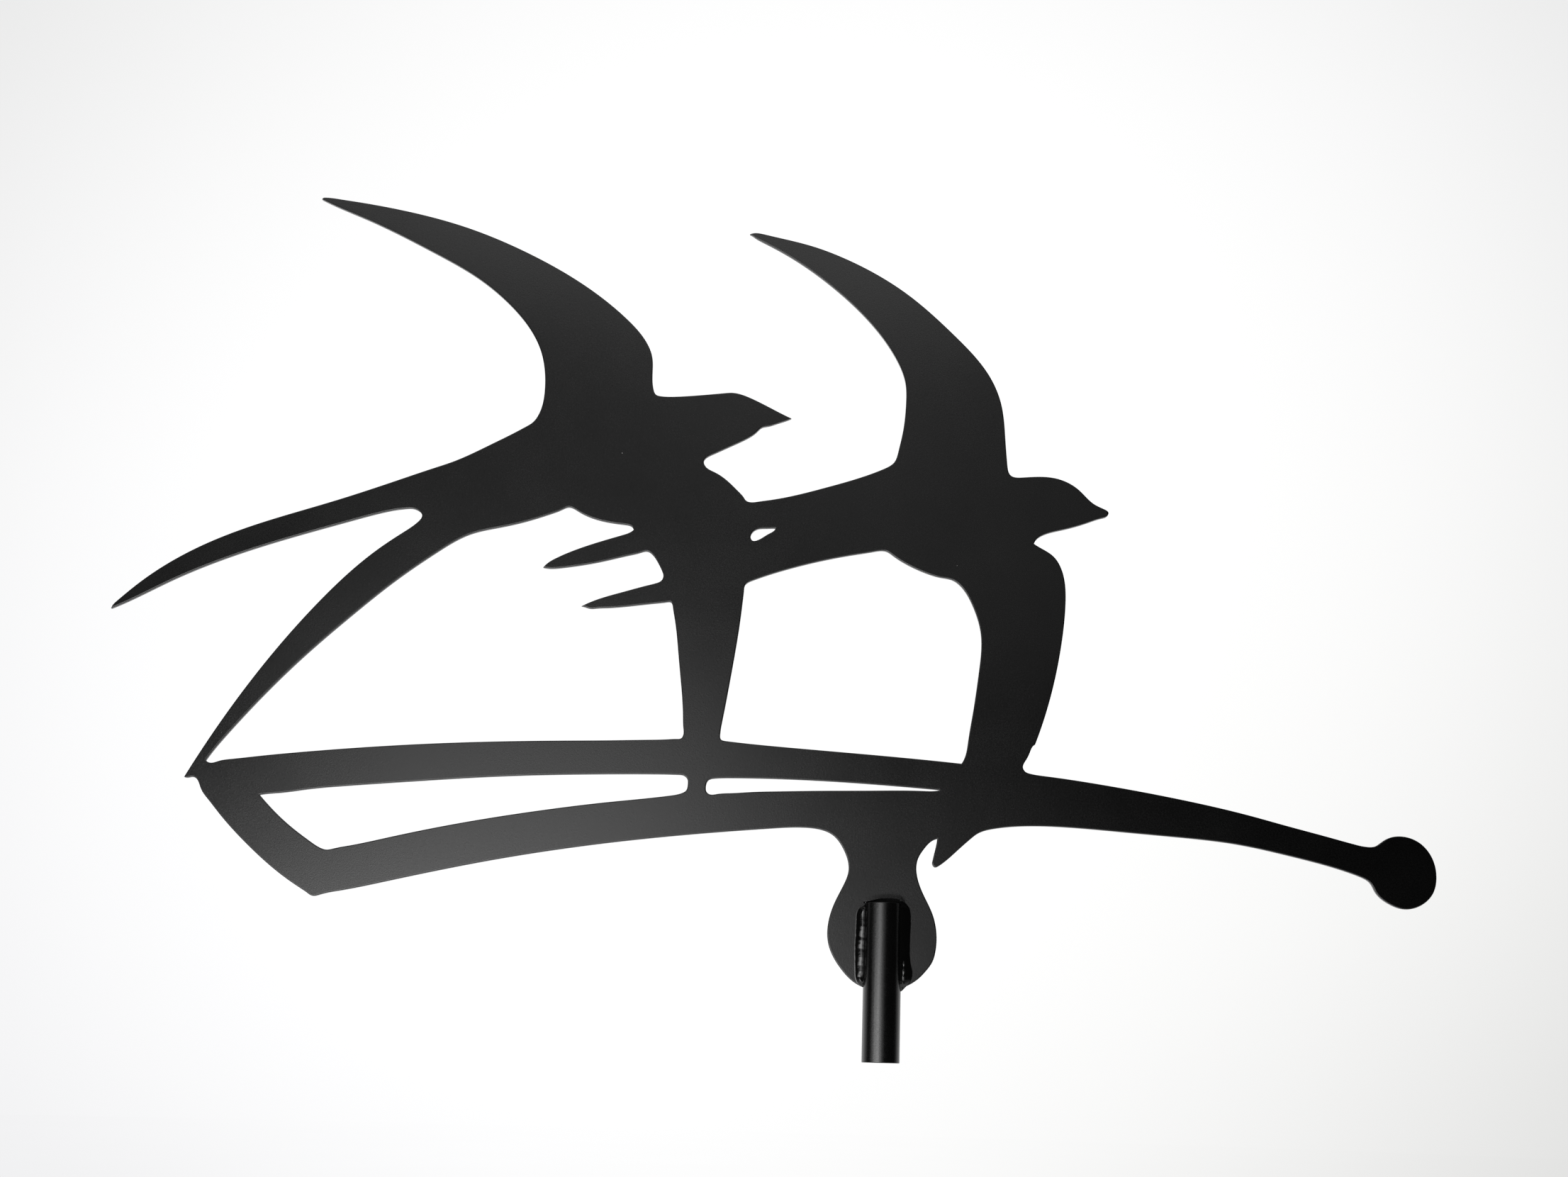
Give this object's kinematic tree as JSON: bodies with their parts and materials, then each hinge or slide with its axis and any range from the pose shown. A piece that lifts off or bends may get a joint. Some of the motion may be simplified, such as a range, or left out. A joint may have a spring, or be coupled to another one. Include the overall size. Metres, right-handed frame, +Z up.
{
  "type": "weathervane",
  "caption": "Flat steel weathervane with swallows in flight above a long arrow, welded to a tube that turns on two ball bearings.",
  "frame": {"origin": "on the spin axis, at the underside of the lower inner bearing ring, where the shoulder of the spindle ends; the tube reaches 7 mm lower", "axes": "+Z up along the spin axis, +X towards the round point of the arrow, the faces of the plate look along -Y (the pictured side) and +Y"},
  "size_m": [0.7191, 0.02, 0.4738],
  "materials": {
    "powder_coat": "satin black powder coat with a fine even grain over welded steel",
    "bearing_steel": "ground bearing steel",
    "ball_steel": "polished bearing steel",
    "cage_steel": "pressed steel sheet",
    "shield_steel": "pressed steel sheet",
    "spring_steel": "phosphated spring steel",
    "spacer_aluminium": "turned aluminium",
    "sleeve_steel": "turned steel"
  },
  "bodies": {
    "spindle_side": {"lower_inner_ring": "bearing_steel", "upper_inner_ring": "bearing_steel", "inner_spacer_sleeve": "sleeve_steel"},
    "vane": {"silhouette_plate": "powder_coat", "pivot_tube": "powder_coat", "weld_front_left": "powder_coat", "weld_front_right": "powder_coat", "weld_back_left": "powder_coat", "weld_back_right": "powder_coat", "top_plug": "powder_coat", "top_plug_weld": "powder_coat", "bearing_spacer_tube": "spacer_aluminium", "retaining_ring": "spring_steel", "lower_outer_ring": "bearing_steel", "lower_shield_bottom": "shield_steel", "lower_shield_top": "shield_steel", "upper_outer_ring": "bearing_steel", "upper_shield_bottom": "shield_steel", "upper_shield_top": "shield_steel"},
    "lower_ball_set": {"lower_balls": "ball_steel", "lower_ball_cage": "cage_steel"},
    "upper_ball_set": {"upper_balls": "ball_steel", "upper_ball_cage": "cage_steel"}
  },
  "joints": [
    {"name": "vane_spin", "type": "hinge", "parent": "spindle_side", "child": "vane", "pos_m": [0, 0, 0], "axis": [0, 0, 1], "continuous": true},
    {"name": "lower_ball_orbit", "type": "hinge", "parent": "spindle_side", "child": "lower_ball_set", "pos_m": [0, 0, 0.0025], "axis": [0, 0, 1], "continuous": true},
    {"name": "upper_ball_orbit", "type": "hinge", "parent": "spindle_side", "child": "upper_ball_set", "pos_m": [0, 0, 0.06625], "axis": [0, 0, 1], "continuous": true}
  ],
  "couplings": [
    {"joint": "lower_ball_orbit", "follows": "vane_spin", "ratio": 0.58333},
    {"joint": "upper_ball_orbit", "follows": "vane_spin", "ratio": 0.58333}
  ]
}
